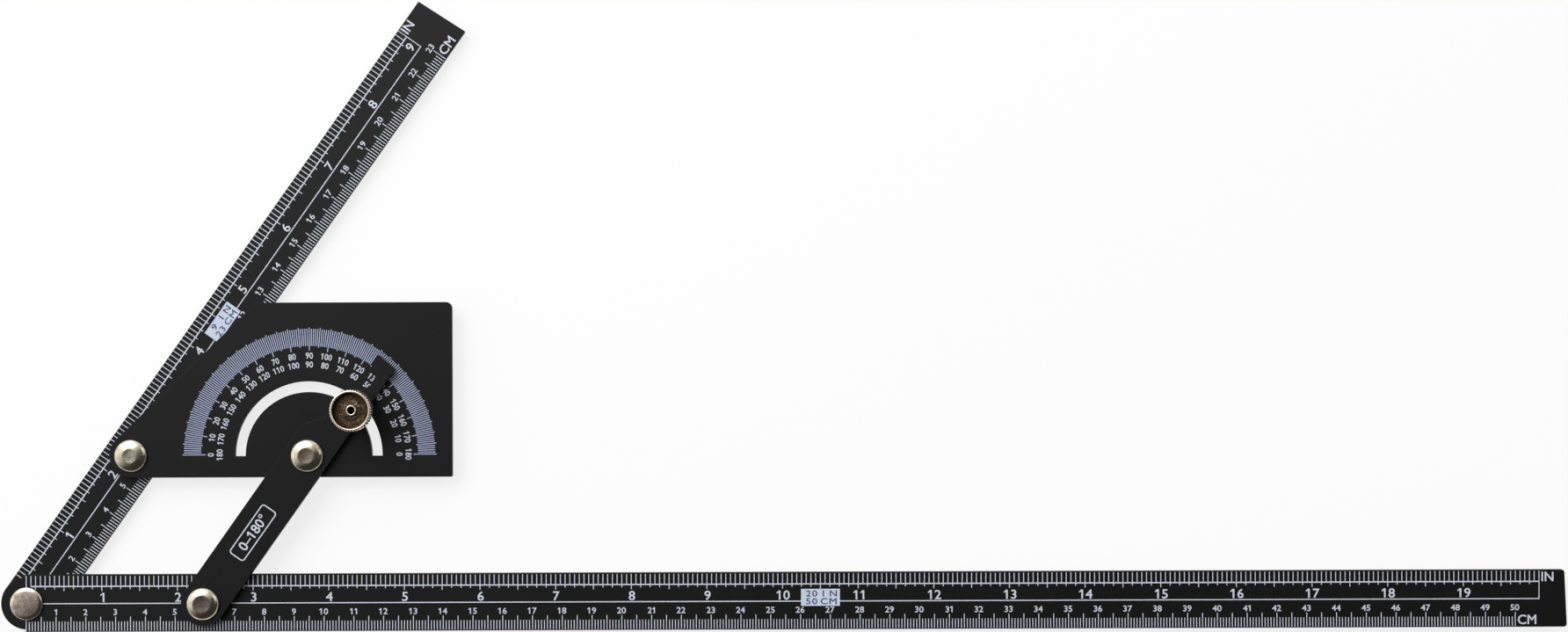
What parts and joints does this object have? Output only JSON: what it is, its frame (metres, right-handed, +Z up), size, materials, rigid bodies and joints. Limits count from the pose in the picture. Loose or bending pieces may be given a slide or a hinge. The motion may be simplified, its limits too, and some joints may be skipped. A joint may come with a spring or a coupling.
{
  "type": "adjustable protractor",
  "caption": "Long and short ruler, degree plate and pointer link riveted as a folding parallelogram, with a knurled knob that clamps the pointer in a half-circle slot.",
  "frame": {"origin": "on the axis of the vertex rivet, at the flat foot of its tail, which is the lowest level of the tool lying face up", "axes": "+X along the long ruler away from the vertex, +Y towards its inch edge and the degree plate, +Z up out of the printed face"},
  "size_m": [0.5259, 0.2116, 0.021],
  "materials": {
    "black_anodised": "satin black anodised aluminium sheet",
    "nickel_plate": "nickel-plated steel, tumbled and lightly scuffed",
    "zinc_plate": "bright zinc-plated steel",
    "nylon": "natural nylon sheet"
  },
  "bodies": {
    "base": {"long_ruler": "black_anodised", "rivet_vertex": "nickel_plate", "back_washer_vertex": "zinc_plate", "leaf_washer_vertex": "nylon", "rivet_ruler_link": "nickel_plate", "back_washer_ruler_link": "zinc_plate", "leaf_washer_ruler_link": "nylon"},
    "arm": {"short_ruler": "black_anodised", "rivet_arm_plate": "nickel_plate", "back_washer_arm_plate": "zinc_plate", "leaf_washer_arm_plate": "nylon"},
    "dial": {"protractor_plate": "black_anodised"},
    "pointer": {"pointer_link": "black_anodised", "rivet_dial": "nickel_plate", "back_washer_dial": "zinc_plate", "leaf_washer_dial": "nylon", "clamp_screw": "zinc_plate", "clamp_washer": "zinc_plate", "slot_washer": "nylon"},
    "washer": {"knob_washer": "zinc_plate"},
    "knob": {"lock_knob": "nickel_plate"}
  },
  "joints": [
    {"name": "arm_swing", "type": "hinge", "parent": "base", "child": "arm", "pos_m": [0, 0, 0.004], "axis": [0, 0, 1], "range_deg": [-37.5, 108.3]},
    {"name": "plate_pivot", "type": "hinge", "parent": "arm", "child": "dial", "pos_m": [0.03502, 0.04946, 0.004], "axis": [0, 0, 1], "range_deg": [-109, 38]},
    {"name": "link_swing", "type": "hinge", "parent": "base", "child": "pointer", "pos_m": [0.0597, 0, 0.0062], "axis": [0, 0, 1], "range_deg": [-38, 109]},
    {"name": "knob_lift", "type": "slide", "parent": "pointer", "child": "washer", "axis": [0, 0, 1], "range_m": [0, 0.0011]},
    {"name": "knob_turn", "type": "hinge", "parent": "washer", "child": "knob", "pos_m": [0.11167, 0.065, 0.015], "axis": [0, 0, 1], "range_deg": [0, 720]}
  ],
  "couplings": [
    {"joint": "plate_pivot", "follows": "arm_swing", "ratio": -1},
    {"joint": "link_swing", "follows": "arm_swing", "ratio": 1},
    {"joint": "knob_lift", "follows": "knob_turn", "m_per_rad": 0.000079577}
  ]
}
